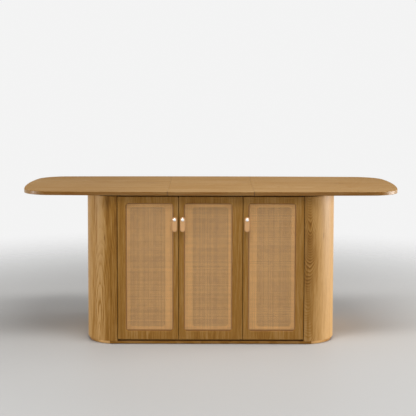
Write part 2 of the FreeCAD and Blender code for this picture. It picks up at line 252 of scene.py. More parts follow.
class Shader(Nodes):
    """A material's node tree with its standard surface shader."""

    def __init__(self, name: str) -> None:
        """Start a material.

        Args:
            name: The material's name.
        """
        self.material = bpy.data.materials.new(name)
        self.material.use_nodes = True
        super().__init__(self.material.node_tree)
        self.surface = self.tree.nodes["Principled BSDF"]

    def bump(self, height: Socket, strength: float, distance: float) -> None:
        """Raise the surface where the height is high; `distance` is what a height of 1 measures."""
        node = self.feed(self.add("Bump"), Height=height, Strength=strength, Distance=distance)
        self.feed(self.surface, Normal=node.outputs[0])

    def finish(self, **inputs: Paint) -> bpy.types.Material:
        """Set the surface shader's inputs by name and hand over the material."""
        self.feed(self.surface, **inputs)
        return self.material


class Grain(Enum):
    """Which way an oak piece's fibres run; the letters are its across, along and depth axes."""

    ALONG_TABLE = "yxz"
    UPRIGHT = "xzy"
    FRONT_TO_BACK = "xyz"


class Fibre(Enum):
    """A noise drawn out along the grain: cells a metre across and along it, layers, strength."""

    FINE = (420.0, 20.0, 3.0, 0.6)
    BROAD = (110.0, 6.0, 2.0, 0.6)
    BANDS = (17.0, 0.9, 2.0, 0.5)
    PORES = (1300.0, 55.0, 1.0, 0.5)
    RIPPLE = (60.0, 9.0, 2.0, 0.5)
    SWAY = (7.0, 2.2, 3.0, 0.5)
    DRIFT = (3.0, 3.6, 2.0, 0.5)


@dataclass(frozen=True)
class OakTone:
    """The colours of an oak board, from its porous rings to its dense wood."""

    dark: Colour
    middle: Colour
    pale: Colour
    pore: Colour


class Oak(Enum):
    """The tones that the table's boards come in."""

    HONEY = OakTone(srgb(122, 79, 28), srgb(160, 114, 50), srgb(190, 148, 91), srgb(84, 50, 16))
    WHEAT = OakTone(srgb(134, 87, 26), srgb(155, 118, 68), srgb(186, 154, 112), srgb(80, 50, 21))
    AMBER = OakTone(srgb(186, 128, 62), srgb(208, 152, 84), srgb(222, 170, 106), srgb(140, 88, 40))
    PLANED = OakTone(srgb(146, 110, 68), srgb(176, 140, 92), srgb(194, 160, 112), srgb(116, 84, 48))
    RUSSET = OakTone(srgb(136, 87, 29), srgb(179, 126, 54), srgb(212, 165, 102), srgb(92, 54, 18))
    STRAW = OakTone(srgb(140, 95, 42), srgb(172, 126, 66), srgb(222, 176, 114), srgb(92, 54, 18))


@dataclass(frozen=True)
class Bend:
    """The upright axis that a bent panel is wrapped about."""

    x: float
    y: float
    radius: float


@dataclass(frozen=True)
class Mark:
    """A dark mark in the wood, such as a knot, a seam or a painted shadow, placed across and along
    the grain.
    """

    across: float
    along: float
    width: float
    length: float
    depth: float


# A bend this wide is flat, and a mark this long runs over a whole board.
FLAT_RADIUS = 100.0
WHOLE_BOARD = 10.0

# How porous the wood is through one growth ring, and how much a ring differs from the next.
RING_PROFILE = ((0.0, 0.5), (0.08, 1.0), (0.32, 0.5), (0.62, 0.14), (0.93, 0.0), (1.0, 0.5))
RING_STRENGTH = ((0.3, 0.5), (0.7, 1.0))
RING_CHANGE = 0.37

# Where the noise of the pores opens one, and what is left of pores and figure where they are few.
PORE_OPENING = ((0.58, 0.0), (0.7, 1.0))
LEAST_SHARE = 0.3

# Share of each noise in the board's tone, and how far a seed moves the noises on each axis.
STREAK_SHARES = {Fibre.FINE: 0.3, Fibre.BROAD: 0.7, Fibre.BANDS: 0.5}
SEED_STEPS = (7.3, 3.1, 5.7)


@dataclass(frozen=True)
class OakFinish:
    """A satin oak whose rings are drawn by the distance to a leaning pith line.

    Where the pith line leans towards the face the rings end in pointed arches; where it
    runs level with the face they are straight stripes.

    Attributes:
        name: The material's name, after "oak_".
        grain: Which way the fibres run.
        tone: The board's colours.
        pith_across: Where the pith line lies across the grain.
        pith_depth: How far below 0 it lies on the depth axis.
        pith_lean: How much lower it lies with each metre along the grain.
        ring: Width of a growth ring.
        figure: Contrast of the rings.
        figure_reach: How far from the pith line they show.
        figure_middle: Where along the grain they show most.
        figure_length: How far from there they show.
        crown: Change of tone over the pith line.
        crown_reach: How far to both sides that goes.
        streak: Contrast of the streaks.
        shade: Change of tone all over.
        painted_light_slope: Change of tone with each metre across the grain; on the bent corner
            panels this is painted light, paler towards the side that faces the side lights.
        edge_shade: Change of tone on the edges.
        end_shade: Change of tone on the ends.
        seed: Start of the noises.
        roughness: Mean roughness of the face.
        edge_polish: How much smoother the edges are.
        gloss: How much light the lacquer reflects.
        bend: The bend that a bent panel is unrolled from.
        marks: Dark marks, such as knots and seams.
        sway: How far the rings wander across the grain.
        drift: How far they wander in depth.
        ripple: How far they wander, in rings.
        ring_lift: Share of the contrast that the dense wood is paler by.
        pore_tint: How dark the pores are.
        pore_drag: How much rougher they are.
        rough_swing: How much the roughness changes from fibre to fibre.
        ring_relief: Depth of the rings, next to that of the pores.
        fibre_relief: Height of the fibres, next to the depth of the pores.
        relief: Depth of the pores.
        relief_strength: Share of the relief that shows.
    """

    name: str
    grain: Grain
    tone: Oak = Oak.HONEY
    pith_across: float = 0.0
    pith_depth: float = 0.12
    pith_lean: float = 0.0
    ring: float = 5.5 * MM
    figure: float = 0.34
    figure_reach: float = WHOLE_BOARD
    figure_middle: float = 0.0
    figure_length: float = 100.0
    crown: float = 0.0
    crown_reach: float = 0.04
    streak: float = 0.5
    shade: float = 0.0
    painted_light_slope: float = 0.0
    edge_shade: float = 0.0
    end_shade: float = 0.0
    seed: float = 0.0
    roughness: float = 0.42
    edge_polish: float = 0.0
    gloss: float = 0.1
    bend: Bend | None = None
    marks: tuple[Mark, ...] = ()
    sway: float = 22.0 * MM
    drift: float = 18.0 * MM
    ripple: float = 0.5
    ring_lift: float = 0.4
    pore_tint: float = 0.55
    pore_drag: float = 0.2
    rough_swing: float = 0.06
    ring_relief: float = 0.35
    fibre_relief: float = 0.5
    relief: float = 0.25 * MM
    relief_strength: float = 0.35

    def material(self) -> bpy.types.Material:
        """Build the finish.

        Returns:
            The material with its rings, fibres, pores and marks.
        """
        shader = Shader("oak_" + self.name)
        axes = self._axes(shader)
        across, along, _ = axes
        rings = self._rings(shader, axes)
        pores = self._pores(shader, axes, rings)
        streaks = {kind: self._noise(shader, axes, kind) for kind in STREAK_SHARES}
        fine = streaks[Fibre.FINE]
        value = shader.total(
            0.5 + self.figure * self.ring_lift + self.shade,
            shader.times(rings, -self.figure),
            shader.times(shader.stripe(across, self.pith_across, self.crown_reach), self.crown),
            shader.times(shader.math("SUBTRACT", across, self.pith_across), self.painted_light_slope),
            self._edge(shader),
            *(shader.swing(streaks[kind], share * self.streak)
              for kind, share in STREAK_SHARES.items()),
        )
        tone = self.tone.value
        colour = shader.ramp(value, [(0.0, tone.dark), (0.5, tone.middle), (1.0, tone.pale)])
        colour = shader.blend(shader.times(pores, self.pore_tint), colour, tone.pore)
        for mark in self.marks:
            cover = shader.times(shader.stripe(across, mark.across, mark.width),
                                 shader.stripe(along, mark.along, mark.length))
            colour = shader.blend(shader.times(cover, mark.depth), colour, tone.pore)
        height = shader.total(
            shader.times(pores, -1.0),
            shader.times(rings, -self.ring_relief),
            shader.times(fine, self.fibre_relief),
        )
        shader.bump(height, self.relief_strength, self.relief)
        rough = shader.total(self.roughness, shader.swing(fine, self.rough_swing),
                             shader.times(pores, self.pore_drag))
        if self.edge_polish:
            rough = shader.math("MULTIPLY_ADD", self._facing(shader)[0], -self.edge_polish, rough)
        return shader.finish(Base_Color=colour, Roughness=rough, Specular_IOR_Level=self.gloss)

    def _axes(self, shader: Shader) -> Axes:
        """Give the places across, along and into the grain.

        Args:
            shader: The material's nodes.

        Returns:
            The three places; a bent panel is unrolled first.
        """
        place = shader.split(shader.place())
        if self.bend is None:
            return tuple(place[letter] for letter in self.grain.value)
        out_x = shader.math("SUBTRACT", place["x"], self.bend.x)
        out_y = shader.math("SUBTRACT", self.bend.y, place["y"])
        round_bend = shader.times(shader.math("ARCTAN2", out_x, out_y), self.bend.radius)
        depth = shader.math("SUBTRACT", shader.distance(out_x, out_y), self.bend.radius)
        if self.grain is Grain.ALONG_TABLE:
            return place["z"], round_bend, depth
        return round_bend, place["z"], depth

    def _noise(self, shader: Shader, axes: Axes, kind: Fibre) -> Socket:
        """Sample a noise that is drawn out along the grain.

        Args:
            shader: The material's nodes.
            axes: The places across, along and into the grain.
            kind: Which noise.

        Returns:
            The socket of the noise, around 0.5.
        """
        wide, long, detail, rough = kind.value
        place = shader.join(*(shader.math("MULTIPLY_ADD", axis, cells, self.seed * step)
                              for axis, cells, step in zip(axes, (wide, long, wide), SEED_STEPS)))
        return shader.noise(place, detail=detail, rough=rough)

    def _rings(self, shader: Shader, axes: Axes) -> Socket:
        """Draw the growth rings.

        Args:
            shader: The material's nodes.
            axes: The places across, along and into the grain.

        Returns:
            How deep a point lies in the porous part of its ring, 0 to 1.
        """
        across, along, depth = axes
        sway = shader.swing(self._noise(shader, axes, Fibre.SWAY), self.sway)
        drift = shader.swing(self._noise(shader, axes, Fibre.DRIFT), self.drift)
        ripple = shader.swing(self._noise(shader, axes, Fibre.RIPPLE), self.ripple)
        side = shader.total(across, sway, -self.pith_across)
        lean = shader.math("MULTIPLY_ADD", along, self.pith_lean, self.pith_depth)
        reach = shader.distance(side, shader.total(lean, depth, drift))
        count = shader.total(shader.math("DIVIDE", reach, self.ring), ripple)
        band = shader.levels(shader.math("FRACT", count), RING_PROFILE)
        turn = shader.join(shader.times(reach, RING_CHANGE / self.ring), self.seed, 0.0)
        strength = shader.levels(shader.noise(turn, detail=1.0), RING_STRENGTH)
        figured = shader.times(shader.stripe(across, self.pith_across, self.figure_reach),
                               shader.stripe(along, self.figure_middle, self.figure_length))
        strength = shader.times(strength, shader.spread(figured, LEAST_SHARE, 1.0))
        return shader.times(band, strength)

    def _pores(self, shader: Shader, axes: Axes, rings: Socket) -> Socket:
        """Draw the short open pores, thickest in the porous part of each ring."""
        pores = shader.levels(self._noise(shader, axes, Fibre.PORES), PORE_OPENING)
        return shader.times(pores, shader.spread(rings, LEAST_SHARE, 1.0))

    def _edge(self, shader: Shader) -> Value:
        """Change the tone of a board's edges and ends by which way they face; on the door frames
        this is painted shade.

        Args:
            shader: The material's nodes.

        Returns:
            The change of tone.
        """
        if self.edge_shade == self.end_shade == 0.0:
            return 0.0
        on_edge, on_end = self._facing(shader)
        return shader.times(on_edge, shader.spread(on_end, self.edge_shade, self.end_shade))

    def _facing(self, shader: Shader) -> tuple[Socket, Socket]:
        """Tell a board's flat side from its edges and ends.

        Args:
            shader: The material's nodes.

        Returns:
            How far a point faces off the flat side, and how much of that is to the ends.
        """
        facing = shader.split(shader.add("TexCoord").outputs["Normal"])
        _, along, depth = (facing[letter] for letter in self.grain.value)
        on_edge = shader.math("SUBTRACT", 1.0, shader.math("ABSOLUTE", depth))
        return on_edge, shader.times(along, along)


@dataclass(frozen=True)
class CaneFinish:
    """Peeled cane: a straw-coloured strand with a low gloss and fine fibres."""

    pale: Colour = srgb(239, 185, 115)
    dark: Colour = srgb(174, 133, 87)
    shadow: Colour = srgb(166, 116, 62)
    base: float = 0.17
    strand_share: float = 0.27
    patch_share: float = 0.3
    fibre_share: tuple[float, float] = (-0.1, 0.15)
    patch_cells: float = 45.0
    fibre_cells: float = 1900.0
    relief: float = 0.1 * MM
    relief_strength: float = 0.25
    roughness: tuple[float, float] = (0.36, 0.56)

    def material(self) -> bpy.types.Material:
        """Build the finish.

        Returns:
            The material; each strand carries its own tone in the `tone` attribute.
        """
        shader = Shader("cane")
        tone = shader.add("Attribute", attribute_name="tone").outputs["Fac"]
        point = shader.place()
        patches = shader.noise(point, self.patch_cells, 3.0, 0.6)
        fibres = shader.noise(point, self.fibre_cells)
        value = shader.total(
            shader.math("MULTIPLY_ADD", tone, self.strand_share, self.base),
            shader.times(patches, self.patch_share),
            shader.spread(fibres, *self.fibre_share),
        )
        colour = shader.ramp(value, [(0.0, self.shadow), (0.2, self.dark), (0.9, self.pale)])
        shader.bump(fibres, self.relief_strength, self.relief)
        return shader.finish(Base_Color=colour, Roughness=shader.spread(patches, *self.roughness))


@dataclass(frozen=True)
class LeatherFinish:
    """Natural tanned leather with a pebbled face and burnished edges."""

    face: Colour = srgb(238, 186, 128)
    worn: Colour = srgb(224, 170, 113)
    edge: Colour = srgb(142, 92, 52)
    mottle_cells: float = 70.0
    pebble_cells: float = 950.0
    pebble_tint: float = 0.25
    pebble_depth: float = 0.8
    rim_tint: float = 0.75
    relief: float = 0.25 * MM
    relief_strength: float = 0.4
    roughness: tuple[float, float] = (0.46, 0.64)

    def material(self) -> bpy.types.Material:
        """Build the finish.

        Returns:
            The material; the `rim` attribute is 1 on the cut edge and in the crease.
        """
        shader = Shader("leather")
        point = shader.place()
        mottle = shader.noise(point, self.mottle_cells, 4.0, 0.6)
        cells = shader.add("TexVoronoi", feature="F1")
        pebble = shader.feed(cells, Vector=point, Scale=self.pebble_cells).outputs["Distance"]
        rim = shader.add("Attribute", attribute_name="rim").outputs["Fac"]
        colour = shader.blend(mottle, self.worn, self.face)
        colour = shader.blend(shader.times(pebble, self.pebble_tint), colour, self.edge)
        colour = shader.blend(shader.times(rim, self.rim_tint), colour, self.edge)
        height = shader.total(shader.times(pebble, -self.pebble_depth), mottle)
        shader.bump(height, self.relief_strength, self.relief)
        return shader.finish(Base_Color=colour, Roughness=shader.spread(mottle, *self.roughness))


@dataclass(frozen=True)
class MetalFinish:
    """A metal with fine marks in its polish, stretched by the cells of each axis."""

    name: str
    colour: Colour
    roughness: float
    marks: float
    cells: tuple[float, float, float] = (400.0, 400.0, 400.0)
    dull_share: float = 0.82
    relief: float = 0.05 * MM
    relief_share: float = 0.5

    def material(self) -> bpy.types.Material:
        """Build the finish.

        Returns:
            The material with its marks.
        """
        shader = Shader(self.name)
        place = shader.split(shader.place()).values()
        point = shader.join(*(shader.times(axis, cells) for axis, cells in zip(place, self.cells)))
        grain = shader.noise(point, detail=3.0, rough=0.6)
        dull = tuple(level * self.dull_share for level in self.colour)
        colour = shader.blend(shader.times(grain, self.marks), self.colour, dull)
        shader.bump(grain, self.marks * self.relief_share, self.relief)
        rough = shader.spread(grain, self.roughness * (1 - self.marks),
                              self.roughness * (1 + self.marks))
        return shader.finish(Base_Color=colour, Roughness=rough, Metallic=1.0)


@dataclass(frozen=True)
class PlasticFinish:
    """A dark moulded plastic with a faint sand texture."""

    dark: Colour = srgb(58, 52, 46)
    pale: Colour = srgb(78, 71, 63)
    sand_cells: float = 1600.0
    relief: float = 0.1 * MM
    relief_strength: float = 0.2
    roughness: tuple[float, float] = (0.5, 0.65)

    def material(self) -> bpy.types.Material:
        """Build the finish.

        Returns:
            The material with its texture.
        """
        shader = Shader("moulded_plastic")
        sand = shader.noise(shader.place(), self.sand_cells)
        shader.bump(sand, self.relief_strength, self.relief)
        colour = shader.blend(sand, self.dark, self.pale)
        return shader.finish(Base_Color=colour, Roughness=shader.spread(sand, *self.roughness))


def dress(material: bpy.types.Material, *nodes: str) -> None:
    """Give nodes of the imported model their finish.

    Args:
        material: The finish.
        *nodes: The nodes that take it.
    """
    for node in nodes:
        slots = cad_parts[node].data.materials
        slots.clear()
        slots.append(material)
        LOG.info("dressed %s with %s", node, material.name)


def add_piece(name: str, mesh: bpy.types.Mesh, body: str,
              stands_for: str) -> bpy.types.Object:
    """Put a new piece in the scene, on its body and in place of its plain solid.

    Args:
        name: The piece's name.
        mesh: Its shape, in the table's frame.
        body: The body that it moves with.
        stands_for: The node that it replaces.

    Returns:
        The new object.
    """
    piece = bpy.data.objects.new(name, mesh)
    bpy.context.scene.collection.objects.link(piece)
    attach(piece, body)
    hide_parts(stands_for)
    LOG.info("added %s on %s", name, body)
    return piece


def opening_of(node: str, y: float) -> Box:
    """Find the window in a frame-like node at one depth, looking out from its middle.

    Args:
        node: The node with the window.
        y: The depth to look at.

    Returns:
        The window's low and high corners at that depth.
    """
    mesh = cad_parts[node].data
    tree = BVHTree.FromPolygons([vertex.co for vertex in mesh.vertices],
                                [face.vertices for face in mesh.polygons])
    middle = center(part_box(node))
    middle.y = y
    left, right, bottom, top = (
        tree.ray_cast(middle, Vector(way))[0]
        for way in ((-1, 0, 0), (1, 0, 0), (0, 0, -1), (0, 0, 1)))
    return Vector((left.x, y, bottom.z)), Vector((right.x, y, top.z))


@dataclass
class Skin:
    """A mesh in the making, put together from rings of points that carry a number each."""

    points: list[Vector] = field(default_factory=list)
    values: list[float] = field(default_factory=list)
    faces: list[Face] = field(default_factory=list)

    def ring(self, points: list[Vector], value: float = 0.0) -> range:
        """Add a ring of points.

        Args:
            points: The points, in order.
            value: The number that they carry.

        Returns:
            Their places in the mesh.
        """
        start = len(self.points)
        self.points.extend(points)
        self.values.extend([value] * len(points))
        return range(start, len(self.points))

    def wrap(self, rings: list[range]) -> None:
        """Join each ring to the next with four-cornered faces.

        Args:
            rings: The rings, each with as many points.
        """
        for one, two in zip(rings, rings[1:]):
            for side in range(len(one)):
                after = (side + 1) % len(one)
                self.faces.append((one[side], one[after], two[after], two[side]))

    def mesh(self, name: str, material: bpy.types.Material, attribute: str = "") -> bpy.types.Mesh:
        """Make the smooth mesh.

        Args:
            name: The mesh's name.
            material: Its finish.
            attribute: Name of the number that its points carry, where the finish reads it.

        Returns:
            The mesh, with its faces turned outward.
        """
        mesh = bpy.data.meshes.new(name)
        mesh.from_pydata([tuple(point) for point in self.points], [], self.faces)
        shape = bmesh.new()
        shape.from_mesh(mesh)
        bmesh.ops.recalc_face_normals(shape, faces=shape.faces)
        shape.to_mesh(mesh)
        shape.free()
        if attribute:
            layer = mesh.attributes.new(attribute, "FLOAT", "POINT")
            layer.data.foreach_set("value", self.values)
        mesh.shade_smooth()
        mesh.materials.append(material)
        return mesh


@dataclass
class TableTop:
    """The three sections of the bowed top, sawn from one run of boards, and their slides."""

    lean: float = 0.05
    pith_start: float = 0.1
    pith_step: float = -0.12
    edge_seam: float = 1.7 * MM
    edge_reach: float = 20.0 * MM
    marks: tuple[Mark, ...] = (
        Mark(0.03, -0.306, 0.009, 0.036, 0.5),
        Mark(0.08, 0.193, 0.007, 0.03, 0.5),
        Mark(0.03, 0.678, 0.008, 0.04, 0.5),
        # Painted shade: this last mark darkens the top all across over its left end, where less
        # light falls.
        Mark(0.0, -0.58, WHOLE_BOARD, 0.25, 0.09),
    )

    def dress(self) -> None:
        """Give each section its own boards, and the hidden slides planed wood."""
        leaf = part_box("leaf_top")
        seams = tuple(Mark(edge.y, corner.x, self.edge_reach, self.edge_seam, 1.0)
                      for edge in leaf for corner in leaf)
        for number, node in enumerate(("left_top", "leaf_top", "right_top")):
            low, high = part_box(node)
            own = tuple(mark for mark in self.marks if low.x < mark.along < high.x)
            finish = OakFinish(
                node, Grain.ALONG_TABLE, Oak.WHEAT,
                pith_across=self.pith_start + self.pith_step * number, pith_depth=-0.62,
                pith_lean=self.lean, ring=7.0 * MM, figure=0.2, edge_shade=-0.38, end_shade=0.1,
                seed=3.0 + number, roughness=0.8, edge_polish=0.48, gloss=0.2, marks=own + seams)
            dress(finish.material(), node)
        slide = OakFinish("slides", Grain.ALONG_TABLE, Oak.PLANED, pith_depth=-0.5, figure=0.2,
                          seed=9.0)
        runners = (f"{side}_{place}_runner" for side in ("left", "right")
                   for place in ("front", "back"))
        dress(slide.material(), "front_guide", "back_guide", *runners)
        batten = OakFinish("battens", Grain.FRONT_TO_BACK, Oak.PLANED, pith_depth=-0.5,
                           figure=0.2, seed=10.0)
        dress(batten.material(), "leaf_battens")


@dataclass
class Carcass:
    """The shell with its bent corner panels, the boards inside it and the plinth under it."""

    # Painted shadow on the toe rail: a dark line along its top, where the doors shade it, and
    # darker patches at its ends, under the corner panels.
    toe_shadow_line: float = 2.5 * MM  # dark line along the top of the toe rail
    toe_end_shadow_height: float = 5.0 * MM  # darker patches at the ends of that line
    toe_end_shadow_length: float = 30.0 * MM

    def bend_of(self, node: str) -> Bend:
        """Find the axis that a corner panel is bent about, from the panel's box.

        Args:
            node: The corner panel.

        Returns:
            The bend, at the panel's outer face.
        """
        low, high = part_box(node)
        radius = high.y - low.y
        x = low.x + radius if low.x < 0 else high.x - radius
        y = low.y + radius if low.y < 0 else high.y - radius
        return Bend(x, y, radius)

    def dress(self) -> None:
        """Give every panel, board and rail its own grain."""
        self._dress_front_corners()
        self._dress_shell()
        self._dress_boards()
        self._dress_plinth()

    def _dress_front_corners(self) -> None:
        """Dress the two corner panels in front with pointed figure, and paint light and shade on
        their curved faces.
        """
        left, right = (self.bend_of(f"front_{side}_corner") for side in ("left", "right"))
        quarter = left.radius * math.pi / 2
        # Painted light and shade on the curved faces: each panel is paler towards the side that
        # faces its side light, the right one is darker near the door, and the left one's pale
        # stripe is partly figure and partly painted light.
        left_oak = OakFinish(
            "left_corner", Grain.UPRIGHT, pith_across=-0.37 * quarter, pith_depth=-0.006,
            pith_lean=0.12, ring=9.0 * MM, figure=0.85, figure_reach=0.06, figure_middle=0.18,
            figure_length=0.22, crown=0.5, crown_reach=0.022, streak=1.0, shade=-0.22, painted_light_slope=-3.5,
            seed=1.0, bend=left,
            marks=(Mark(-0.26 * quarter, 0.53, 0.004, 0.016, 0.5),
                   # The second mark is a painted shadow at the top of the left panel near the door,
                   # under the table top's overhang.
                   Mark(-0.2 * quarter, 0.7, 0.012, 0.05, 0.5)))
        right_oak = OakFinish(
            "right_corner", Grain.UPRIGHT, pith_across=0.1 * quarter, pith_depth=0.152,
            pith_lean=-0.13, ring=2.1 * MM, figure=1.5, figure_reach=0.052, figure_middle=0.46,
            figure_length=0.2, crown=-0.3, crown_reach=0.035, streak=0.7, shade=-0.22, painted_light_slope=1.8,
            gloss=0.18, seed=2.0, bend=right,
            marks=(Mark(0.42 * quarter, 0.54, 0.004, 0.018, 0.4),))
        dress(left_oak.material(), "front_left_corner")
        dress(right_oak.material(), "front_right_corner")

    def _dress_shell(self) -> None:
        """Dress the back corner panels, the back and the sides."""
        shell = [
            OakFinish("back_left_corner", Grain.UPRIGHT, pith_across=-0.2, pith_depth=0.04,
                      pith_lean=0.05, ring=7.5 * MM, figure=0.5, seed=11.0,
                      bend=self.bend_of("back_left_corner")),
            OakFinish("back_right_corner", Grain.UPRIGHT, pith_across=0.2, pith_depth=0.09,
                      pith_lean=-0.07, ring=7.5 * MM, figure=0.5, seed=12.0,
                      bend=self.bend_of("back_right_corner")),
            OakFinish("back_panel", Grain.UPRIGHT, pith_depth=0.09, pith_lean=0.05, ring=9.0 * MM,
                      seed=13.0),
        ]
        for number, node in enumerate(("left_side_panel", "right_side_panel")):
            flat = Bend(center(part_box(node)).x, -FLAT_RADIUS, FLAT_RADIUS)
            shell.append(OakFinish(
                node, Grain.UPRIGHT, pith_depth=0.05, pith_lean=0.05, ring=8.0 * MM, figure=0.45,
                shade=0.3, seed=14.0 + number, bend=flat))
        for finish in shell:
            dress(finish.material(), finish.name)

    def _dress_boards(self) -> None:
        """Dress the boards inside the shell."""
        level = OakFinish("inner_level", Grain.ALONG_TABLE, pith_depth=-0.4, pith_lean=0.04,
                          figure=0.25, seed=20.0)
        upright = OakFinish("inner_upright", Grain.UPRIGHT, pith_depth=0.5, figure=0.25, seed=21.0)
        dress(level.material(), "bottom_panel", "deck_panel", "left_shelf", "right_shelf",
              "front_top_rail")
        dress(upright.material(), "left_end_wall", "right_end_wall", "partition")

    def _dress_plinth(self) -> None:
        """Dress the plinth: its rails carry a painted shadow along their tops and at their ends,
        its bent ends pale in front.
        """
        low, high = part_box("plinth_front_rail")
        # Painted shade along the rail's top and at its ends.
        painted_shadow_top = Mark(high.z, 0.0, self.toe_shadow_line, WHOLE_BOARD, 0.9)
        painted_shadow_ends = (Mark(high.z, corner.x, self.toe_end_shadow_height, self.toe_end_shadow_length, 0.6)
                     for corner in (low, high))
        rail = OakFinish("toe_rails", Grain.ALONG_TABLE, Oak.RUSSET, pith_depth=0.3, figure=0.3,
                         seed=30.0, bend=Bend(0.0, FLAT_RADIUS, FLAT_RADIUS),
                         marks=(painted_shadow_top, *painted_shadow_ends))
        cross = OakFinish("cross_rails", Grain.FRONT_TO_BACK, pith_depth=0.3, figure=0.3,
                          seed=31.0)
        dress(rail.material(), "plinth_front_rail", "plinth_back_rail")
        dress(cross.material(), "plinth_cross_rails")
        for number, node in enumerate(("plinth_left_end", "plinth_right_end")):
            end = OakFinish(node, Grain.ALONG_TABLE, Oak.STRAW, pith_across=low.y, pith_depth=0.3,
                            figure=0.3, crown=0.7, crown_reach=0.033, shade=-0.15,
                            seed=32.0 + number)
            dress(end.material(), node)
        dress(PlasticFinish().material(), "floor_glides")


@dataclass
class Hardware:
    """The metal pieces of the hinges, catches and shelves."""

    steel: MetalFinish = MetalFinish(
        "brushed_steel", srgb(48, 42, 35), 0.5, 0.5, (120.0, 2400.0, 2400.0))
    plated: MetalFinish = MetalFinish("zinc_plate", srgb(190, 188, 182), 0.3, 0.4)
    brass: MetalFinish = MetalFinish(
        "turned_brass", srgb(196, 160, 92), 0.28, 0.4, (300.0, 300.0, 2600.0))

    def dress(self) -> None:
        """Give each metal piece its finish."""
        strikes = (door + "_catch_strike" for door in DOORS)
        bushes = (door + "_hinge_bushes" for door in DOORS)
        dress(self.steel.material(), "upper_pivots", "lower_pivots", *strikes)
        dress(self.plated.material(), "catch_magnets", "shelf_pins")
        dress(self.brass.material(), *bushes)


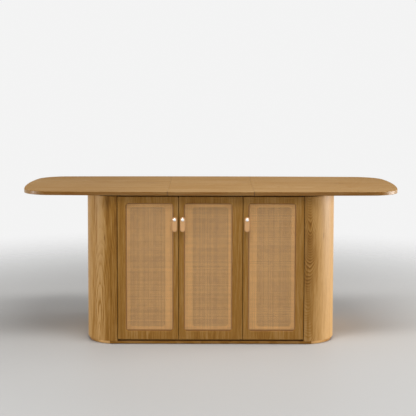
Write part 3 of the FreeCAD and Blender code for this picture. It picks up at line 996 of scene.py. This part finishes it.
@dataclass
class CaneWeave:
    """Close square weave of peeled cane, drawn strand by strand over one door's window."""

    door: str
    pitch: float = 5.2 * MM
    strand_width: float = 3.1 * MM
    strand_thickness: float = 0.4 * MM
    width_range: tuple[float, float] = (0.9, 1.08)  # from strand to strand
    shoulder: float = 0.3  # of the crown, at a strand's edges
    crossing: float = 0.55  # off the middle where strands cross, in thicknesses
    back_room: float = 1.1  # from the middle to the panel's back, in thicknesses
    corner_radius: float = 29.0 * MM
    edge_gap: float = 0.8 * MM
    wander: float = 0.22 * MM
    border_tone: float = 0.7
    # Painted light lifts the border along the top, against the shade of the frame's top edge;
    # painted shade darkens the rim at the window's edge.
    top_painted_light: float = 0.8
    rim: float = 3.6 * MM
    rim_shadow_tone: float = -1.5
    skin: Skin = field(default_factory=Skin)

    def __post_init__(self) -> None:
        """Find the panel, the window in front of it and the opening of the frame behind it."""
        self.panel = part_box(self.door + "_door_cane")
        self.window = opening_of(self.door + "_door_frame", self.panel[0].y - MM)
        self.clear = opening_of(self.door + "_door_backing", self.panel[1].y + MM)
        self.window_radius = self.corner_radius - (self.window[0].x - self.panel[0].x)

    def build(self, material: bpy.types.Material, seed: int) -> bpy.types.Object:
        """Weave the panel and put it in place of the plain one.

        Args:
            material: The cane's finish.
            seed: Start of the strands' small differences.

        Returns:
            The woven panel.
        """
        low, high = self.panel
        chance = random.Random(seed)
        middle = high.y - self.strand_thickness * self.back_room
        uprights = self._lines(low.x, high.x, chance)
        levels = self._lines(low.z, high.z, chance)
        for number, x in enumerate(uprights):
            self._strand([Vector((x, middle + self._lift(number, other), z))
                          for other, z in enumerate(levels)], 2, chance)
        for number, z in enumerate(levels):
            self._strand([Vector((x, middle - self._lift(other, number), z))
                          for other, x in enumerate(uprights)], 0, chance)
        name = self.door + "_cane_weave"
        mesh = self.skin.mesh(name, material, "tone")
        return add_piece(name, mesh, self.door + "_door", self.door + "_door_cane")

    def _lines(self, low: float, high: float, chance: random.Random) -> list[float]:
        """Space the strands evenly over a width, each a little off its place.

        Args:
            low: Where the width begins.
            high: Where it ends.
            chance: Source of the small differences.

        Returns:
            The middle of each strand.
        """
        room = high - low - 2 * self.edge_gap - self.strand_width - 2 * self.wander
        count = int(room / self.pitch) + 1
        start = (low + high) / 2 - (count - 1) * self.pitch / 2
        return [start + number * self.pitch + chance.uniform(-self.wander, self.wander)
                for number in range(count)]

    def _lift(self, upright: int, level: int) -> float:
        """Give how far an upright strand stands behind the middle where it crosses a level one."""
        side = 1 if (upright + level) % 2 else -1
        return side * self.strand_thickness * self.crossing

    def _reach(self, place: float, low: float, high: float) -> float:
        """Give how much a strand is shortened at each end by the panel's round corners.

        Args:
            place: The strand's middle, across it.
            low: The panel's low edge there.
            high: The panel's high edge there.

        Returns:
            The length that is left off.
        """
        edge = min(place - low, high - place) - self.strand_width / 2
        into = max(self.corner_radius - max(edge, 0.0), 0.0)
        rest = math.sqrt(max(self.corner_radius**2 - into**2, 0.0))
        return self.corner_radius - rest + self.edge_gap

    def _tone(self, point: Vector, tone: float) -> float:
        """Give a strand's tone: pale where a board lies behind it, with painted light along the top
        and painted shade at the window's edge.

        Args:
            point: The point on the strand.
            tone: The strand's own tone.

        Returns:
            The tone at the point.
        """
        # Painted shade on the rim at the window's edge, painted light on the top border.
        if self._inside(point, self.window) < self.rim:
            return self.rim_shadow_tone
        if self._inside(point, self.clear) > 0:
            return tone
        return tone + self.border_tone + (self.top_painted_light if point.z > self.clear[1].z else 0.0)

    def _inside(self, point: Vector, window: Box) -> float:
        """Give how far a point lies inside a round-cornered window.

        Args:
            point: The point.
            window: The window's low and high corners.

        Returns:
            The distance to the window's edge, less than 0 outside it.
        """
        low, high = window
        x = min(point.x - low.x, high.x - point.x)
        z = min(point.z - low.z, high.z - point.z)
        radius = self.window_radius
        return radius - math.hypot(radius - x, radius - z) if max(x, z) < radius else min(x, z)

    def _strand(self, path: list[Vector], axis: int, chance: random.Random) -> None:
        """Add one flat strand with a crowned face.

        Args:
            path: The strand's middle at every crossing.
            axis: The axis that it runs along, 0 or 2.
            chance: Source of its tone and width.
        """
        low, high = self.panel
        side = 2 - axis
        reach = self._reach(path[0][side], low[side], high[side])
        start, end = low[axis] + reach, high[axis] - reach
        inside = [point for point in path if start < point[axis] < end]
        first, last = inside[0].copy(), inside[-1].copy()
        first[axis], last[axis] = start, end
        tone = chance.random()
        half = Vector((0, 0, 0))
        half[side] = self.strand_width / 2 * chance.uniform(*self.width_range)
        crown = OUTWARD * self.strand_thickness / 2
        section = (half - crown, half + crown * self.shoulder, crown,
                   crown * self.shoulder - half, -crown - half)
        rings = [self.skin.ring([point + corner for corner in section], self._tone(point, tone))
                 for point in (first, *inside, last)]
        self.skin.wrap(rings)
        self.skin.faces += [tuple(reversed(rings[0])), tuple(rings[-1])]


@dataclass
class LeatherPull:
    """A leather tab with a pressed border line, and the polished stud that holds it."""

    door: str
    round_steps: int = 20
    edge_round: float = 1.1 * MM
    edge_bevel: float = 0.33 * MM
    crease_inset: float = 2.6 * MM
    crease_width: float = 0.7 * MM
    crease_depth: float = 0.35 * MM
    swell_start: float = 0.15 * MM
    swell: float = 0.2 * MM
    spine: float = 0.4 * MM  # half width of the strip that closes the face
    curl: float = 1.4 * MM  # forward, at the tab's lower end
    dimple: float = 0.5 * MM  # pressed in under the stud
    dimple_fade: float = 2.5
    stud_steps: int = 40
    shank: float = 2.0 * MM
    dome: tuple[float, ...] = (0.15, 0.35, 0.55, 0.72, 0.86, 0.95)  # shares of the radius
    dome_fall: float = 0.8  # shares of the head's height, here and at the rim
    dome_power: float = 2.4
    rim_fall: float = 0.86
    rim_taper: float = 0.985

    def build_tab(self, material: bpy.types.Material) -> bpy.types.Object:
        """Shape the tab from rings inside its outline.

        Args:
            material: The leather.

        Returns:
            The tab.
        """
        node = self.door + "_pull_tab"
        low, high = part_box(node)
        stud_low, stud_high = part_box(self.door + "_pull_stud")
        stud = center((stud_low, stud_high))
        skin, rings = Skin(), []
        for inset, y, rim in self._tab_rings(low, high):
            in_front = y < (low.y + high.y) / 2
            points = []
            for x, z in self._outline(low, high, inset):
                drop = max(stud.z - z, 0.0) / (stud.z - low.z)
                away = math.hypot(x - stud.x, z - stud.z) / (stud_high.x - stud_low.x)
                press = self.dimple * math.exp(-self.dimple_fade * away * away) if in_front else 0.0
                points.append(Vector((x, y - self.curl * drop * drop + press, z)))
            rings.append(skin.ring(points, rim))
        skin.wrap(rings)
        skin.faces += [tuple(reversed(rings[0])), *self._strip(rings[-1])]
        name = self.door + "_leather_tab"
        mesh = skin.mesh(name, material, "rim")
        return add_piece(name, mesh, self.door + "_door", node)

    def _tab_rings(self, low: Vector, high: Vector) -> list[tuple[float, float, float]]:
        """List the tab's rings, from its back round the edge to the middle of its face.

        Args:
            low: The tab's low corner.
            high: The tab's high corner.

        Returns:
            Each ring's inset, its depth and how far it is burnished.
        """
        front, back, half = low.y, high.y, (high.x - low.x) / 2
        turn, bevel, crease = self.edge_round, self.edge_bevel, self.crease_inset
        return [
            (turn, back, 1.0),
            (bevel, back - bevel, 1.0),
            (0.0, back - turn, 1.0),
            (0.0, front + turn, 1.0),
            (bevel, front + bevel, 0.8),
            (turn, front, 0.3),
            (crease - self.crease_width, front, 0.1),
            (crease, front + self.crease_depth, 0.9),
            (crease + self.crease_width, front, 0.1),
            (half * 0.45, front - self.swell_start, 0.0),
            (half * 0.7, front - self.swell, 0.0),
            (half - self.spine, front - self.swell, 0.0),
        ]

    def _outline(self, low: Vector, high: Vector, inset: float) -> list[tuple[float, float]]:
        """Give the tab's round-ended outline, drawn in by an inset.

        Args:
            low: The tab's low corner.
            high: The tab's high corner.
            inset: How far to draw it in.

        Returns:
            The outline's points, as x and z.
        """
        middle, half = (low.x + high.x) / 2, (high.x - low.x) / 2
        radius = half - inset
        places = []
        for center_z, first in ((high.z - half, 0.0), (low.z + half, math.pi)):
            for step in range(self.round_steps + 1):
                angle = first + math.pi * step / self.round_steps
                places.append((middle + radius * math.cos(angle),
                               center_z + radius * math.sin(angle)))
        return places

    def _strip(self, ring: range) -> list[Face]:
        """Close the narrow middle of the face with a row of faces.

        Args:
            ring: The face's last ring.

        Returns:
            Four-cornered faces, with a three-cornered one at each end.
        """
        upper, lower = ring[:self.round_steps + 1], ring[self.round_steps + 1:]
        strips = [(upper[0], upper[-1], lower[0], lower[-1])]
        for step in range(self.round_steps // 2):
            for arc in (upper, lower):
                corners = (arc[step], arc[step + 1], arc[-2 - step], arc[-1 - step])
                strips.append(tuple(dict.fromkeys(corners)))
        return strips

    def build_stud(self, material: bpy.types.Material) -> bpy.types.Object:
        """Turn the stud: a low dome with a rounded rim, on its shank.

        Args:
            material: The polished metal.

        Returns:
            The stud.
        """
        node = self.door + "_pull_stud"
        low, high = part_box(node)
        tab_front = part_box(self.door + "_pull_tab")[0].y
        radius, height, middle = (high.x - low.x) / 2, tab_front - low.y, center((low, high))
        profile = [(radius * share, low.y + height * self.dome_fall * share**self.dome_power)
                   for share in self.dome]
        profile += [(radius, low.y + height * self.rim_fall), (radius * self.rim_taper, tab_front),
                    (self.shank, tab_front), (self.shank, high.y)]
        skin, rings = Skin(), []
        skin.ring([Vector((middle.x, low.y, middle.z))])
        for reach, y in profile:
            angles = (2 * math.pi * step / self.stud_steps for step in range(self.stud_steps))
            rings.append(skin.ring([
                Vector((middle.x + reach * math.cos(angle), y, middle.z + reach * math.sin(angle)))
                for angle in angles]))
        dome = rings[0]
        skin.faces += [(0, one, two) for one, two in zip(dome, (*dome[1:], dome[0]))]
        skin.wrap(rings)
        skin.faces.append(tuple(rings[-1]))
        name = self.door + "_stud_cap"
        mesh = skin.mesh(name, material)
        return add_piece(name, mesh, self.door + "_door", node)


@dataclass
class Doors:
    """The three flush doors: oak frames with upright grain, cane windows and leather pulls."""

    nickel: MetalFinish = MetalFinish("polished_nickel", srgb(250, 250, 248), 0.3, 0.3)
    weave_seed: int = 100

    def dress(self) -> None:
        """Dress the frames and build what the plain solids stand for."""
        cane = CaneFinish().material()
        leather = LeatherFinish().material()
        nickel = self.nickel.material()
        for number, door in enumerate(DOORS):
            # Painted shade: the frames' edges are darker and their ends darker still, for the shade
            # in the gaps between and under the doors and in the window recesses.
            grain = OakFinish(
                door + "_door", Grain.UPRIGHT, pith_across=center(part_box(door + "_door_frame")).x,
                pith_depth=0.42, pith_lean=0.02, ring=6.0 * MM, figure=0.32, streak=0.6,
                edge_shade=-0.2, end_shade=-0.5, seed=40.0 + number)
            backing = OakFinish(door + "_backing", Grain.UPRIGHT, Oak.AMBER, pith_depth=0.4,
                                figure=0.2, seed=50.0 + number)
            dress(grain.material(), door + "_door_frame")
            dress(backing.material(), door + "_door_backing")
            dress(nickel, door + "_pull_spacer")
            CaneWeave(door).build(cane, self.weave_seed + number)
            pull = LeatherPull(door)
            pull.build_tab(leather)
            pull.build_stud(nickel)


@dataclass(frozen=True)
class SoftBox:
    """A rectangular studio light."""

    name: str
    place: tuple[float, float, float]
    aim: tuple[float, float, float]
    width: float
    height: float
    power: float

    def build(self) -> None:
        """Hang the light and turn it to its aim."""
        lamp = bpy.data.lights.new(self.name, "AREA")
        lamp.shape = "RECTANGLE"
        lamp.size = self.width
        lamp.size_y = self.height
        lamp.energy = self.power
        holder = bpy.data.objects.new(self.name, lamp)
        holder.location = self.place
        look = Vector(self.aim) - Vector(self.place)
        holder.rotation_euler = look.to_track_quat("-Z", "Y").to_euler()
        holder.visible_camera = False
        bpy.context.scene.collection.objects.link(holder)


@dataclass
class Studio:
    """The pale floor, the even surroundings, the lights and the camera."""

    floor_half: float = 9.0
    floor_colour: Colour = srgb(188, 187, 185)
    floor_roughness: float = 0.6
    fade_start: float = 1.1
    fade_end: float = 3.6
    backdrop: float = 0.9
    ambient: float = 0.2
    camera_place: tuple[float, float, float] = (-0.01463, -5.77075, 1.38014)
    camera_pitch: float = 4.58347
    camera_roll: float = 0.11007
    camera_lens: float = 96.1954
    camera_sensor: float = 36.0
    camera_shift: float = -0.13
    lights: tuple[SoftBox, ...] = (
        SoftBox("right_window", (4.6, 0.2, 0.7), (0.3, 0.0, 0.45), 2.6, 1.3, 215.0),
        SoftBox("left_window", (-4.2, -1.6, 0.95), (-0.4, 0.0, 0.45), 2.2, 1.4, 33.0),
        SoftBox("left_strip", (-4.0, -0.85, 0.45), (-0.6, -0.2, 0.5), 0.65, 0.65, 36.0),
        SoftBox("overhead", (0.2, 0.3, 3.6), (0.0, 0.0, 0.7), 3.2, 2.2, 16.0),
        SoftBox("front_high", (0.3, -1.25, 3.4), (0.0, -0.36, 0.4), 2.6, 0.8, 84.0),
        SoftBox("front_low", (0.2, -5.4, 1.0), (0.0, 0.0, 0.4), 3.0, 1.6, 18.0),
    )

    def build(self) -> None:
        """Set up the studio round the table."""
        self._floor()
        self._surroundings()
        for light in self.lights:
            light.build()
        self._camera()
        bpy.context.scene.view_settings.view_transform = "Standard"

    def _floor(self) -> None:
        """Lay a pale floor that fades into the surroundings."""
        mesh = bpy.data.meshes.new("floor")
        reach = self.floor_half
        corners = [(-reach, -reach, 0), (reach, -reach, 0), (reach, reach, 0), (-reach, reach, 0)]
        mesh.from_pydata(corners, [], [(0, 1, 2, 3)])
        shader = Shader("pale_floor")
        place = shader.split(shader.place())
        fade = shader.add("MapRange", interpolation_type="SMOOTHSTEP")
        shader.feed(fade, Value=shader.distance(place["x"], place["y"]),
                    From_Min=self.fade_start, From_Max=self.fade_end)
        clear = shader.add("BsdfTransparent")
        mix = shader.add("MixShader")
        layers = (fade.outputs["Result"], shader.surface.outputs[0], clear.outputs[0])
        for target, layer in zip(mix.inputs, layers):
            shader.put(target, layer)
        shader.feed(shader.tree.nodes["Material Output"], Surface=mix.outputs[0])
        mesh.materials.append(
            shader.finish(Base_Color=self.floor_colour, Roughness=self.floor_roughness))
        floor = bpy.data.objects.new("floor", mesh)
        bpy.context.scene.collection.objects.link(floor)

    def _surroundings(self) -> None:
        """Make the world an even soft light that shows as a pale background."""
        world = bpy.data.worlds.new("studio")
        world.use_nodes = True
        nodes = Nodes(world.node_tree)
        path = nodes.add("LightPath").outputs
        mirrored = nodes.math("MAXIMUM", path["Is Glossy Ray"], path["Is Transmission Ray"])
        seen = nodes.math("MAXIMUM", path["Is Camera Ray"], mirrored)
        nodes.feed(nodes.tree.nodes["Background"], Color=(1.0, 1.0, 1.0),
                   Strength=nodes.spread(seen, self.ambient, self.backdrop))
        bpy.context.scene.world = world

    def _camera(self) -> None:
        """Place the camera of the photograph."""
        data = bpy.data.cameras.new("photo_camera")
        data.lens = self.camera_lens
        data.sensor_width = self.camera_sensor
        data.shift_y = self.camera_shift
        camera = bpy.data.objects.new("photo_camera", data)
        camera.location = self.camera_place
        tilt = Euler((math.radians(90.0 - self.camera_pitch), 0.0, 0.0)).to_matrix()
        roll = Euler((0.0, 0.0, math.radians(self.camera_roll))).to_matrix()
        camera.rotation_euler = (tilt @ roll).to_euler()
        bpy.context.scene.collection.objects.link(camera)
        bpy.context.scene.camera = camera


def main() -> None:
    """Dress the table, sub-assembly by sub-assembly, and set up the studio."""
    logging.basicConfig(level=logging.INFO, format="%(name)s: %(message)s")
    TableTop().dress()
    Carcass().dress()
    Hardware().dress()
    Doors().dress()
    Studio().build()


if __name__ == "__main__":
    main()
